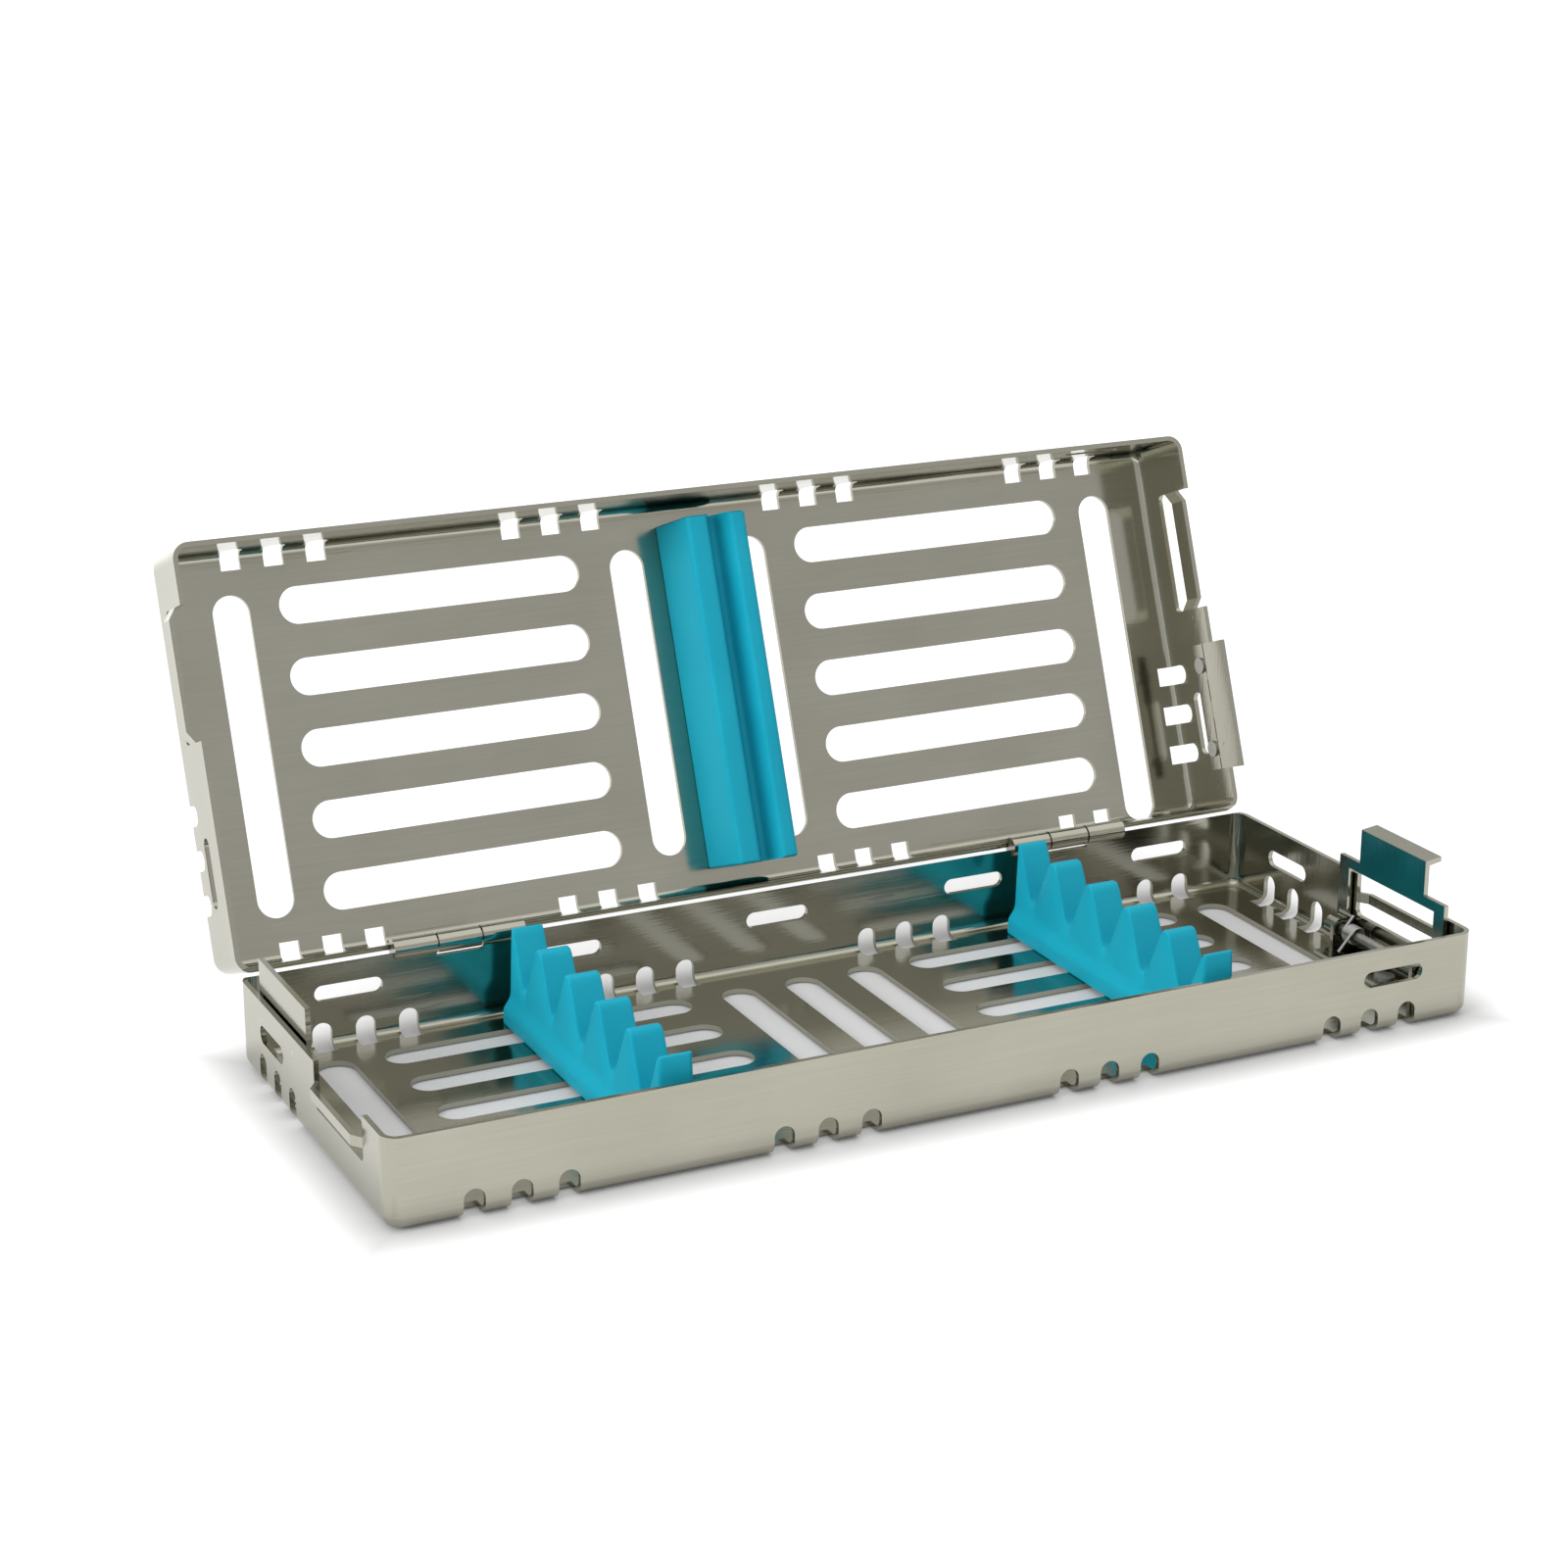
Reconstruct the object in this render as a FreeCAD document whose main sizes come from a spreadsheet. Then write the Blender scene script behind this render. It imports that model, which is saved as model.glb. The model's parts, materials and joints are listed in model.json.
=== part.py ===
import FreeCAD, Part
import math
import os
import re
import Sketcher
from FreeCAD import Placement, Rotation, Vector

# Instrument cassette for five hand instruments: a perforated sheet steel tray with a lid of the
# same footprint, hinged along the rear edge and leaning back on its stop.
# Millimetres, +Z up, +X along the length. The origin is the middle of the underside of the tray,
# so the tray stands on Z = 0 with its hinge side towards +Y and its open side towards -Y.
# Lid pieces are drawn with the lid lying on its back, hinge side towards -Y, and then turned over.

doc = FreeCAD.newDocument("instrument_cassette")
sizes = doc.addObject("Spreadsheet::Sheet", "sizes")

# Driving dimensions
SIZES = [
    ("tray_length", 180.0),
    ("tray_width", 66.0),
    ("tray_depth", 13.9),
    ("lid_depth", 14.5),
    ("sheet", 0.8),
    ("corner_radius", 2.6),
    ("fold_radius", 2.0),
    ("rim_gap", 0.5),
    ("lid_opening_angle", 111.0),
    ("fit_gap", 0.3),
    # Perforations of tray floor and lid panel
    ("slot_width", 6.0),
    ("cross_slot_margin", 4.5),
    ("long_slot_margin", 7.5),
    ("inner_slot_offset", 11.2),
    ("end_slot_from_end", 11.5),
    ("bank_from_inner_slot", 8.5),
    ("bank_from_end_slot", 7.8),
    ("lid_hinge_slot_extra", 7.0),
    # Drain openings across the folds
    ("drain_width", 3.2),
    ("drain_pitch", 7.0),
    ("drain_up_wall", 4.4),
    ("drain_up_end_wall", 5.4),
    ("drain_along_floor", 3.6),
    ("drain_group_from_end", 19.5),
    ("drain_group_from_hinge", 18.0),
    # Slots in the walls
    ("vent_length", 11.0),
    ("vent_height", 2.6),
    ("vent_from_end", 17.0),
    ("vent_below_rim", 4.7),
    ("front_vent_from_end", 15.4),
    ("guide_slot_length", 11.0),
    ("guide_slot_height", 2.8),
    ("guide_slot_from_hinge", 15.8),
    ("tray_guide_slot_below_rim", 5.1),
    ("lid_guide_slot_below_rim", 6.4),
    ("catch_length", 20.8),
    ("catch_from_hinge", 46.2),
    ("catch_notch_depth", 3.3),
    ("catch_slot_height", 2.2),
    ("catch_bulge", 1.2),
    ("catch_ramp", 1.8),
    ("tray_catch_slot_below_rim", 6.0),
    ("lid_catch_slot_below_rim", 7.9),
    # Hinges
    ("hinge_from_end", 35.25),
    ("hinge_pin_diameter", 1.6),
    ("knuckle_wall", 0.8),
    ("knuckle_length", 7.0),
    ("hinge_play", 0.06),
    ("press_play", 0.02),
    # Silicone rails and what holds them
    ("saddle_from_wall", 4.7),
    ("saddle_height", 15.7),
    ("saddle_top_width", 5.2),
    ("saddle_foot_width", 8.6),
    ("saddle_foot_height", 2.6),
    ("saddle_neck_height", 4.4),
    ("valley_depth", 9.0),
    ("valley_top_width", 9.8),
    ("valley_floor_width", 1.4),
    ("lid_pad_from_wall", 4.25),
    ("lid_pad_height", 9.8),
    ("lid_pad_width", 15.0),
    ("lid_pad_top_width", 14.0),
    ("lid_pad_groove_width", 6.6),
    ("lid_pad_groove_floor", 4.6),
    ("lid_pad_groove_depth", 3.6),
    ("strip_width", 5.2),
    ("strip_thickness", 0.8),
    ("strip_lift", 0.8),
    ("strip_end_inset", 1.5),
    ("rivet_diameter", 1.8),
    ("rivet_shoulder_diameter", 2.8),
    ("rivet_head_diameter", 3.4),
    ("rivet_head_height", 0.6),
    # Guide tongues that line the halves up
    ("guide_length", 22.0),
    ("guide_from_hinge", 18.4),
    ("guide_above_rim", 5.4),
    ("guide_below_rim", 4.2),
    ("guide_bend", 1.2),
    ("guide_rivet_diameter", 1.4),
    ("guide_rivet_head", 0.3),
    # Spring latch inside the right end wall
    ("latch_length", 28.0),
    ("latch_leg_width", 2.6),
    ("latch_tab_length", 17.2),
    ("latch_window_above_rim", 0.9),
    ("latch_bar_height", 1.7),
    ("latch_lip_reach", 2.2),
    ("latch_lip_rise", 0.4),
    ("latch_pin_diameter", 1.6),
    ("latch_pin_above_floor", 3.6),
    ("bracket_ear_height", 5.0),
    ("bracket_width", 6.2),
    ("spring_wire", 0.5),
    ("spring_turns", 4.0),
    ("spring_leg", 2.3),
    ("spring_from_leg", 3.4),
]

for row, (alias, number) in enumerate(SIZES, start=1):
    sizes.set("A%d" % row, alias.replace("_", " "))
    sizes.set("B%d" % row, str(number))
    sizes.setAlias("B%d" % row, alias)
doc.recompute()

ALIASES = [alias for alias, number in SIZES]
WORD = re.compile(r"[A-Za-z_]+")
SMALL = 0.0001

# Places that follow from the driving dimensions
END_SLOT = "(tray_length / 2 - end_slot_from_end)"
BANK_INSIDE = "(inner_slot_offset + bank_from_inner_slot)"
BANK_OUTSIDE = "(%s - bank_from_end_slot)" % END_SLOT
BANK = "((%s + %s) / 2)" % (BANK_INSIDE, BANK_OUTSIDE)
CROSS_SLOT_LENGTH = "(%s - %s)" % (BANK_OUTSIDE, BANK_INSIDE)
PITCH = "((tray_width - 2 * cross_slot_margin) / 5)"
LONG_SLOT_LENGTH = "(tray_width - 2 * long_slot_margin)"
LID_HINGE_SLOT_LENGTH = "(%s + lid_hinge_slot_extra)" % LONG_SLOT_LENGTH
DRAIN_OUTER = "(tray_length / 2 - drain_group_from_end)"
DRAIN_INNER = "(%s / 3)" % DRAIN_OUTER
VENT_PITCH = "((tray_length / 2 - vent_from_end) / 2)"
HINGE = "(tray_length / 2 - hinge_from_end)"
SADDLE_LENGTH = "(tray_width - 2 * saddle_from_wall)"
PAD_LENGTH = "(tray_width - 2 * lid_pad_from_wall)"


def bound(formula):
    """The formula with every size named on its sheet."""
    return WORD.sub(lambda m: ("<<sizes>>." if m.group(0) in ALIASES else "") + m.group(0), formula)


def value(formula):
    """The number that a formula of sizes has now."""
    return float(sizes.evalExpression(formula))


def place(item, across, deep, up):
    """Puts an object somewhere by formulas."""
    for axis, formula in (("x", across), ("y", deep), ("z", up)):
        item.setExpression("Placement.Base." + axis, bound(formula))


def turn_lid(item):
    """Turns a lid piece from lying on its back to standing open on the hinge axis."""
    turn = "(180 - lid_opening_angle)"
    rim = "(lid_depth + rim_gap / 2)"
    item.Placement.Rotation = Rotation(Vector(1, 0, 0), value(turn))
    item.setExpression("Placement.Rotation.Angle", bound(turn))
    place(item, "0", "tray_width / 2 + cos%s * tray_width / 2 + sin%s * %s" % (turn, turn, rim),
          "tray_depth + rim_gap / 2 + sin%s * tray_width / 2 - cos%s * %s" % (turn, turn, rim))


# Sketch helpers
def new_body(name):
    body = doc.addObject("PartDesign::Body", name)
    body.Label = name
    return body


class Drawing:
    """A sketch on one of a body's own origin planes, drawn with formulas and closed in one go."""

    def __init__(self, body, name, plane, offset=None):
        self.sketch = body.newObject("Sketcher::SketchObject", name)
        support = next(f for f in body.Origin.OriginFeatures if f.Role == plane)
        self.sketch.AttachmentSupport = (support, [""])
        self.sketch.MapMode = "FlatFace"
        if offset:
            self.sketch.setExpression("AttachmentOffset.Base.z", bound(offset))
        self.shapes = []
        self.constraints = []
        self.formulas = []

    def line(self, start, end):
        self.shapes.append(Part.LineSegment(start, end))
        return len(self.shapes) - 1

    def arc(self, centre, radius, start, end):
        """An arc about a centre between two angles in degrees."""
        round_edge = Part.Circle(centre, Vector(0, 0, 1), radius)
        self.shapes.append(Part.ArcOfCircle(round_edge, math.radians(start), math.radians(end)))
        return len(self.shapes) - 1

    def rule(self, *words):
        self.constraints.append(Sketcher.Constraint(*words))

    def bind(self, kind, *place, formula):
        """A dimension that follows the sheet."""
        self.formulas.append((len(self.constraints), formula))
        self.rule(kind, *place, value(formula))

    def bind_point(self, shape, position, across, up):
        self.bind("DistanceX", shape, position, formula=across)
        self.bind("DistanceY", shape, position, formula=up)

    def outline(self, points):
        """A closed outline of straight edges through points given as pairs of formulas."""
        places = [point(across, up) for across, up in points]
        first = len(self.shapes)
        count = len(points)
        for i in range(count):
            self.line(places[i], places[(i + 1) % count])
        for i in range(count):
            self.rule("Coincident", first + i, 2, first + (i + 1) % count, 1)
            self.bind_point(first + i, 1, *points[i])

    def circle(self, across, up, diameter):
        self.shapes.append(Part.Circle(point(across, up), Vector(0, 0, 1), value(diameter) / 2))
        index = len(self.shapes) - 1
        self.bind_point(index, 3, across, up)
        self.bind("Diameter", index, formula=diameter)

    def eight_sided(self, across, up, diameter):
        """A wire's section, with eight flats that touch its circle."""
        half = "(%s) / 2" % diameter
        flat = "%s * tan(22.5)" % half
        corners = [(half, flat), (flat, half)]
        corners += [("-" + first, second) for first, second in reversed(corners)]
        corners += [(first, "-" + second) for first, second in reversed(corners)]
        self.outline([("%s + %s" % (across, first), "%s + %s" % (up, second)) for first, second in corners])

    def rounded_slot(self, across, up, length, width, along="X"):
        """A slot with half-round ends about a centre, its length along X or Y of the sketch."""
        lean = 0 if along == "X" else 90
        spin = Rotation(Vector(0, 0, 1), lean)
        centre = point(across, up)
        half = (value(length) - value(width)) / 2
        radius = value(width) / 2
        near, far = (centre + spin.multVec(Vector(side * half, 0, 0)) for side in (-1, 1))
        edge = spin.multVec(Vector(0, radius, 0))
        lower = self.line(near - edge, far - edge)
        far_end = self.arc(far, radius, lean - 90, lean + 90)
        upper = self.line(far + edge, near + edge)
        near_end = self.arc(near, radius, lean + 90, lean + 270)
        for this, following in ((lower, far_end), (far_end, upper), (upper, near_end), (near_end, lower)):
            self.rule("Tangent", this, 2, following, 1)
        self.rule("Horizontal" if along == "X" else "Vertical", lower)
        self.rule("Equal", far_end, near_end)
        self.bind("Radius", far_end, formula="(%s) / 2" % width)
        reach = "((%s) - (%s)) / 2" % (length, width)
        if along == "X":
            self.bind_point(near_end, 3, "(%s) - %s" % (across, reach), up)
            self.bind("DistanceX", far_end, 3, formula="(%s) + %s" % (across, reach))
        else:
            self.bind_point(near_end, 3, across, "(%s) - %s" % (up, reach))
            self.bind("DistanceY", far_end, 3, formula="(%s) + %s" % (up, reach))

    def rounded_rectangle(self, length, width, radius):
        """A rectangle about the sketch's origin with four equal round corners."""
        half_x = value(length) / 2
        half_y = value(width) / 2
        r = value(radius)
        corners = [(1, -1), (1, 1), (-1, 1), (-1, -1)]
        for i, (side_x, side_y) in enumerate(corners):
            last_x, last_y = corners[i - 1]
            along = Vector(side_x - last_x, side_y - last_y, 0) / 2
            start = Vector(last_x * half_x, last_y * half_y, 0) + along * r
            end = Vector(side_x * half_x, side_y * half_y, 0) - along * r
            self.line(start, end)
            centre = Vector(side_x * (half_x - r), side_y * (half_y - r), 0)
            self.arc(centre, r, (i - 1) * 90, i * 90)
        for i in range(8):
            self.rule("Tangent", i, 2, (i + 1) % 8, 1)
        for edge, level in ((0, "Horizontal"), (2, "Vertical"), (4, "Horizontal"), (6, "Vertical")):
            self.rule(level, edge)
        self.bind("Radius", 1, formula=radius)
        for corner in (3, 5, 7):
            self.rule("Equal", 1, corner)
        self.bind("DistanceY", 0, 1, formula="-(%s) / 2" % width)
        self.bind("DistanceX", 2, 1, formula="(%s) / 2" % length)
        self.bind("DistanceY", 4, 1, formula="(%s) / 2" % width)
        self.bind("DistanceX", 6, 1, formula="-(%s) / 2" % length)

    def arch(self, across, foot, top, width):
        """An opening with straight sides and a half-round top."""
        half = value(width) / 2
        low = point(across, foot)
        high = point(across, top) - Vector(0, half, 0)
        side = Vector(half, 0, 0)
        left = self.line(high - side, low - side)
        bottom = self.line(low - side, low + side)
        right = self.line(low + side, high + side)
        crown = self.arc(high, half, 0, 180)
        self.rule("Coincident", left, 2, bottom, 1)
        self.rule("Coincident", bottom, 2, right, 1)
        self.rule("Tangent", right, 2, crown, 1)
        self.rule("Tangent", crown, 2, left, 1)
        self.rule("Horizontal", bottom)
        self.rule("Vertical", left)
        self.bind("Radius", crown, formula="(%s) / 2" % width)
        self.bind_point(crown, 3, across, "(%s) - (%s) / 2" % (top, width))
        self.bind("DistanceY", bottom, 1, formula=foot)

    def close(self):
        self.sketch.addGeometry(self.shapes, False)
        self.sketch.addConstraint(self.constraints)
        for index, formula in self.formulas:
            self.sketch.setExpression("Constraints[%d]" % index, bound(formula))
        return self.sketch


def point(across, up):
    return Vector(value(across), value(up), 0)


# Feature helpers
def pad(body, drawing, length, middle=False, reverse=False):
    sketch = drawing.close()
    feature = body.newObject("PartDesign::Pad", sketch.Name + "_pad")
    feature.Profile = sketch
    feature.setExpression("Length", bound(length))
    feature.Midplane = middle
    feature.Reversed = reverse
    doc.recompute()
    return feature


def pocket(body, drawing, length=None, reverse=False, middle=False):
    """Cuts a drawing into the body, all the way through where no length is given."""
    sketch = drawing.close()
    before = body.Shape.Volume
    feature = body.newObject("PartDesign::Pocket", sketch.Name + "_cut")
    feature.Profile = sketch
    if length:
        feature.setExpression("Length", bound(length))
    else:
        feature.Type = "ThroughAll"
    feature.Reversed = reverse
    feature.Midplane = middle
    doc.recompute()
    if not body.Shape.Volume < before - SMALL:
        raise ValueError(feature.Name + " cuts nothing")
    return feature


def edges_at_height(shape, height):
    """Names of the edges that lie level at one height."""
    names = []
    for number, edge in enumerate(shape.Edges, start=1):
        box = edge.BoundBox
        if abs(box.ZMin - height) < SMALL and abs(box.ZMax - height) < SMALL:
            names.append("Edge%d" % number)
    return names


def fillet(body, base, names, radius):
    feature = body.newObject("PartDesign::Fillet", base.Name + "_round")
    feature.Base = (base, names)
    feature.setExpression("Radius", bound(radius))
    doc.recompute()
    return feature


# Folded sheet shells
def folded_shell(name, depth):
    """An open box of sheet with round corners and folds, floor at Z = 0 and rim at the depth."""
    body = new_body(name)
    blank = Drawing(body, name + "_blank", "XY_Plane")
    blank.rounded_rectangle("tray_length", "tray_width", "corner_radius")
    block = pad(body, blank, depth)
    folds = fillet(body, block, edges_at_height(block.Shape, 0.0), "fold_radius")
    inside = Drawing(body, name + "_inside", "XY_Plane", "sheet")
    inside.rounded_rectangle("tray_length - 2 * sheet", "tray_width - 2 * sheet",
                             "corner_radius - sheet")
    hollow = pocket(body, inside, "%s - sheet" % depth, reverse=True)
    fillet(body, hollow, edges_at_height(hollow.Shape, value("sheet")), "fold_radius - sheet")
    return body


def cut_cross_slots(body, name):
    """Two banks of five slots across floor or panel."""
    sketch = Drawing(body, name + "_cross_slots", "XY_Plane")
    for bank in (-1, 1):
        for step in range(-2, 3):
            sketch.rounded_slot("%d * %s" % (bank, BANK), "%d * %s" % (step, PITCH),
                                CROSS_SLOT_LENGTH, "slot_width")
    pocket(body, sketch, "2 * sheet", reverse=True)


def cut_long_slots(body, name, places):
    """Slots from front to rear, each given by where it is, its middle and its length."""
    sketch = Drawing(body, name + "_long_slots", "XY_Plane")
    for across, up, length in places:
        sketch.rounded_slot(across, up, length, "slot_width", along="Y")
    pocket(body, sketch, "2 * sheet", reverse=True)


def cut_drains(body, name, hinge_side, joined=None):
    """Threes of drain openings across all four folds, save one that an end slot joins."""
    steps = ("- drain_pitch", "", "+ drain_pitch")
    for side, label in ((1, "front"), (-1, "rear")):
        sketch = Drawing(body, "%s_%s_drains" % (name, label), "XZ_Plane", "%d * tray_width / 2" % side)
        places = ["%d * %s %s" % (half, group, step) for half in (-1, 1)
                  for group in (DRAIN_INNER, DRAIN_OUTER) for step in steps]
        for across in places:
            if across != joined or side != hinge_side:
                sketch.arch(across, "-sheet", "drain_up_wall", "drain_width")
        pocket(body, sketch, "drain_along_floor", reverse=side < 0)
    for side, label in ((1, "right"), (-1, "left")):
        sketch = Drawing(body, "%s_%s_drains" % (name, label), "YZ_Plane", "%d * tray_length / 2" % side)
        for step in steps:
            across = "%d * (tray_width / 2 - drain_group_from_hinge) %s" % (-hinge_side, step)
            sketch.arch(across, "-sheet", "drain_up_end_wall", "drain_width")
        pocket(body, sketch, "drain_along_floor", reverse=side < 0)


def cut_end_walls(body, name, depth, hinge_side, guide_slot, catch_slot):
    """Guide slot, catch slot and notch, alike in both end walls, with the strip between the last two
    pressed outward."""
    sketch = Drawing(body, name + "_end_slots", "YZ_Plane")
    guide = "%d * (tray_width / 2 - guide_slot_from_hinge)" % -hinge_side
    sketch.rounded_slot(guide, "%s - %s" % (depth, guide_slot), "guide_slot_length", "guide_slot_height")
    catch = "%d * (tray_width / 2 - catch_from_hinge)" % -hinge_side
    middle = "%s - %s" % (depth, catch_slot)
    sketch.rounded_slot(catch, middle, "catch_length", "catch_slot_height")
    pocket(body, sketch, middle=True)
    notch = Drawing(body, name + "_notches", "YZ_Plane")
    above = "%s + sheet" % depth
    left, right = ("(%s %s catch_length / 2)" % (catch, sign) for sign in "-+")
    notch.outline([(left, middle), (right, middle), (right, above), (left, above)])
    pocket(body, notch, middle=True)
    low = "%s + catch_slot_height / 2" % middle
    inside = "(tray_length / 2 - sheet)"
    for side, label in ((1, "right"), (-1, "left")):
        strip = Drawing(body, "%s_%s_strip" % (name, label), "XY_Plane", low)
        run = [(left + " - sheet", "0"), (left, "0"), (left + " + catch_ramp", "catch_bulge"),
               (right + " - catch_ramp", "catch_bulge"), (right, "0"), (right + " + sheet", "0")]
        edge = [("%d * (%s + %s)" % (side, inside, out), along) for along, out in run]
        edge += [("%d * (tray_length / 2 + %s)" % (side, out), along) for along, out in reversed(run)]
        strip.outline(edge)
        pad(body, strip, "%s - catch_slot_height / 2 - catch_notch_depth" % catch_slot)


def cut_long_walls(body, name, depth, hinge_side):
    """Five vents in the hinge-side wall, and one near the right end of the opposite wall."""
    height = "%s - vent_below_rim" % depth
    for label, away, places in (
            ("hinge_vents", False, ["%d * %s" % (step, VENT_PITCH) for step in range(-2, 3)]),
            ("front_vent", True, ["tray_length / 2 - front_vent_from_end"])):
        sketch = Drawing(body, "%s_%s" % (name, label), "XZ_Plane")
        for across in places:
            sketch.rounded_slot(across, height, "vent_length", "vent_height")
        pocket(body, sketch, reverse=(hinge_side > 0) != away)


# Hinges: rolled knuckles on the rims, and a notch in the other rim for each
def roll_knuckles(body, name, depth, hinge_side, centres, notches):
    """Adds knuckles about the hinge axis at some places and clears the rim at others."""
    hinge_y = "%d * tray_width / 2" % -hinge_side
    hinge_z = "%s + rim_gap / 2" % depth
    outside = "hinge_pin_diameter + 2 * knuckle_wall"
    clear = "hinge_pin_diameter / 2 + knuckle_wall + fit_gap"
    cuts = Drawing(body, name + "_knuckle_notches", "XZ_Plane")
    for middle in notches:
        left = "%s - knuckle_length / 2 - fit_gap" % middle
        right = "%s + knuckle_length / 2 + fit_gap" % middle
        low = "%s - (%s)" % (hinge_z, clear)
        above = "%s + sheet" % depth
        cuts.outline([(left, low), (right, low), (right, above), (left, above)])
    pocket(body, cuts, reverse=hinge_side > 0)
    for number, middle in enumerate(centres, start=1):
        ring = Drawing(body, "%s_knuckle_%d" % (name, number), "YZ_Plane", middle)
        ring.circle(hinge_y, hinge_z, outside)
        pad(body, ring, "knuckle_length", middle=True)


def bore_knuckles(body, name, depth, hinge_side, play):
    """The bore for the hinge pins, through all the knuckles of one shell."""
    bore = Drawing(body, name + "_pin_bore", "YZ_Plane")
    bore.circle("%d * tray_width / 2" % -hinge_side, "%s + rim_gap / 2" % depth,
                "hinge_pin_diameter + 2 * %s" % play)
    pocket(body, bore, middle=True)


HINGES = (("left", -1), ("right", 1))
KNUCKLE_STEP = "(knuckle_length + fit_gap)"


def hinge_places(steps):
    """Middles of the knuckles at whole steps from the middle of each hinge."""
    return ["%d * %s + %d * %s" % (side, HINGE, step, KNUCKLE_STEP)
            for label, side in HINGES for step in steps]


def make_hinge_pin(label, side):
    pin = doc.addObject("Part::Cylinder", "hinge_pin_" + label)
    pin.setExpression("Radius", bound("hinge_pin_diameter / 2"))
    pin.setExpression("Height", bound("3 * knuckle_length + 2 * fit_gap"))
    pin.Placement.Rotation = Rotation(Vector(0, 1, 0), 90)
    start = "%d * %s - 1.5 * knuckle_length - fit_gap" % (side, HINGE)
    place(pin, start, "tray_width / 2", "tray_depth + rim_gap / 2")
    return pin


# Where rivets go
SADDLES = (("left", "-" + BANK), ("right", BANK))
SADDLE_RIVET_STEP = "1.5 * " + PITCH
PAD_RIVET_STEP = "2 * " + PITCH
BRACKET_X = "tray_length / 2 - fold_radius - bracket_width / 2"
BRACKET_RIVET_STEP = "latch_length / 7"
LATCH_Y = "(tray_width / 2 - catch_from_hinge)"


def saddle_rivet_places(across):
    return [(across, "%d * %s" % (side, SADDLE_RIVET_STEP)) for side in (-1, 1)]


def pad_rivet_places():
    return [("0", "%d * %s" % (side, PAD_RIVET_STEP)) for side in (-1, 1)]


def bracket_rivet_places(middle):
    return [(BRACKET_X, "%s + %d * %s" % (middle, side, BRACKET_RIVET_STEP)) for side in (-1, 1)]


def guide_rivet_places(depth, hinge_side):
    """Across from the hinge and up, on an end wall."""
    middle = "%d * (tray_width / 2 - guide_from_hinge)" % -hinge_side
    height = "%s - (guide_below_rim + guide_bend) / 2" % depth
    return [("%s + %d * guide_length / 3" % (middle, side), height) for side in (-1, 1)]


def drill(body, name, places, diameter, height="0", depth="2 * sheet"):
    """Holes upward from a level of the body."""
    sketch = Drawing(body, name, "XY_Plane", height)
    for across, up in places:
        sketch.circle(across, up, "%s + 2 * press_play" % diameter)
    pocket(body, sketch, depth, reverse=True)


def drill_end_wall(body, name, side, places):
    sketch = Drawing(body, name, "YZ_Plane", "%d * tray_length / 2" % side)
    for across, up in places:
        sketch.circle(across, up, "guide_rivet_diameter + 2 * press_play")
    pocket(body, sketch, "2 * sheet", reverse=side < 0)


def make_tray_shell():
    body = folded_shell("tray_shell", "tray_depth")
    roll_knuckles(body, "tray", "tray_depth", -1, hinge_places((-1, 1)), hinge_places((0,)))
    bore_knuckles(body, "tray", "tray_depth", -1, "press_play")
    cut_cross_slots(body, "tray")
    cut_long_slots(body, "tray", [(across, "0", LONG_SLOT_LENGTH) for across in (
        "-" + END_SLOT, "-inner_slot_offset", "0", "inner_slot_offset", END_SLOT)])
    cut_long_walls(body, "tray", "tray_depth", -1)
    cut_end_walls(body, "tray", "tray_depth", -1, "tray_guide_slot_below_rim",
                  "tray_catch_slot_below_rim")
    cut_drains(body, "tray", -1)
    rivets = bracket_rivet_places(LATCH_Y)
    for label, across in SADDLES:
        rivets += saddle_rivet_places(across)
    drill(body, "tray_floor_holes", rivets, "rivet_diameter")
    drill_end_wall(body, "tray_guide_holes", -1, guide_rivet_places("tray_depth", -1))
    return body


def make_lid_shell():
    body = folded_shell("lid_shell", "lid_depth")
    roll_knuckles(body, "lid", "lid_depth", 1, hinge_places((0,)), hinge_places((-1, 1)))
    bore_knuckles(body, "lid", "lid_depth", 1, "hinge_play")
    cut_cross_slots(body, "lid")
    cut_long_slots(body, "lid", [
        ("-" + END_SLOT, "0", LONG_SLOT_LENGTH),
        ("-inner_slot_offset", "0", LONG_SLOT_LENGTH),
        ("inner_slot_offset", "0", LONG_SLOT_LENGTH),
        (END_SLOT, "-lid_hinge_slot_extra / 2", LID_HINGE_SLOT_LENGTH)])
    cut_long_walls(body, "lid", "lid_depth", 1)
    cut_end_walls(body, "lid", "lid_depth", 1, "lid_guide_slot_below_rim", "lid_catch_slot_below_rim")
    cut_drains(body, "lid", 1, joined="1 * %s + drain_pitch" % DRAIN_OUTER)
    drill(body, "lid_panel_holes", pad_rivet_places(), "rivet_diameter")
    drill_end_wall(body, "lid_guide_holes", 1, guide_rivet_places("lid_depth", 1))
    turn_lid(body)
    return body


# Silicone rails, each on a riveted strip that it grips from both sides
def rail_section(sketch, outside):
    """Draws a rail's section from the right half of its outside, with the groove for its strip."""
    neck = "rivet_shoulder_diameter / 2 + fit_gap"
    wing = "strip_width / 2 + fit_gap"
    under = "sheet + strip_lift - fit_gap / 2"
    over = "sheet + strip_lift + strip_thickness + rivet_head_height + fit_gap"
    right = [(neck, "sheet")] + outside
    groove = [(wing, over), (wing, under), (neck, under)]
    left = [("-(%s)" % across, up) for across, up in reversed(right)]
    left_groove = [("-(%s)" % across, up) for across, up in reversed(groove)]
    sketch.outline(right + left + left_groove + groove)


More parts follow.
